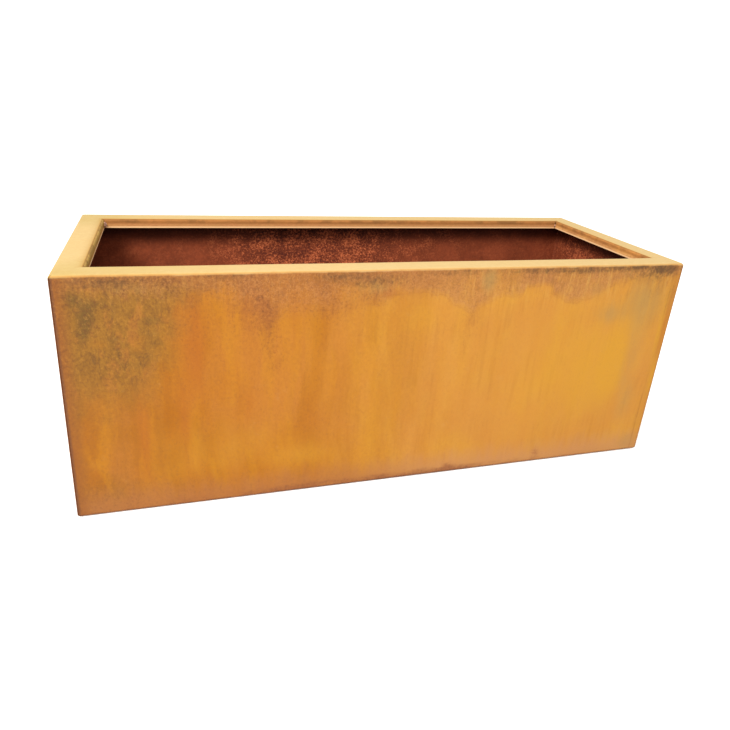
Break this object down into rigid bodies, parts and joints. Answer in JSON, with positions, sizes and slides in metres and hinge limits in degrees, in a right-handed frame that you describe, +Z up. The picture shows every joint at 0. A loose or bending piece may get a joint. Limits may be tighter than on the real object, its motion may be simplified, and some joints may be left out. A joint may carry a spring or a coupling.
{
  "type": "planter box",
  "caption": "Rectangular weathering-steel planter trough with a wide folded rim, welded corners, a drained base raised on channels and a bolted cross tie inside.",
  "frame": {"origin": "middle of the rectangular footprint, on the ground plane", "axes": "+X along the length, -Y towards the front long wall, +Z up"},
  "size_m": [1.2, 0.45, 0.45],
  "materials": {
    "outer_patina": "matte",
    "inner_rust": "matte",
    "weld_metal": "matte",
    "fastener_steel": "satin"
  },
  "bodies": {
    "root": {"front_wall": "outer_patina", "back_wall": "outer_patina", "left_end_wall": "outer_patina", "right_end_wall": "outer_patina", "corner_seam_weld_front_left": "weld_metal", "corner_seam_weld_front_right": "weld_metal", "corner_seam_weld_back_left": "weld_metal", "corner_seam_weld_back_right": "weld_metal", "base_plate": "inner_rust", "base_bearer_left": "inner_rust", "base_bearer_middle": "inner_rust", "base_bearer_right": "inner_rust", "base_stitch_welds": "weld_metal", "bearer_welds": "weld_metal", "tie_bar": "inner_rust", "tie_lug_front": "inner_rust", "tie_lug_back": "inner_rust", "tie_lug_welds": "weld_metal", "tie_bolts": "fastener_steel", "tie_washers": "fastener_steel", "tie_nuts": "fastener_steel"}
  },
  "joints": []
}
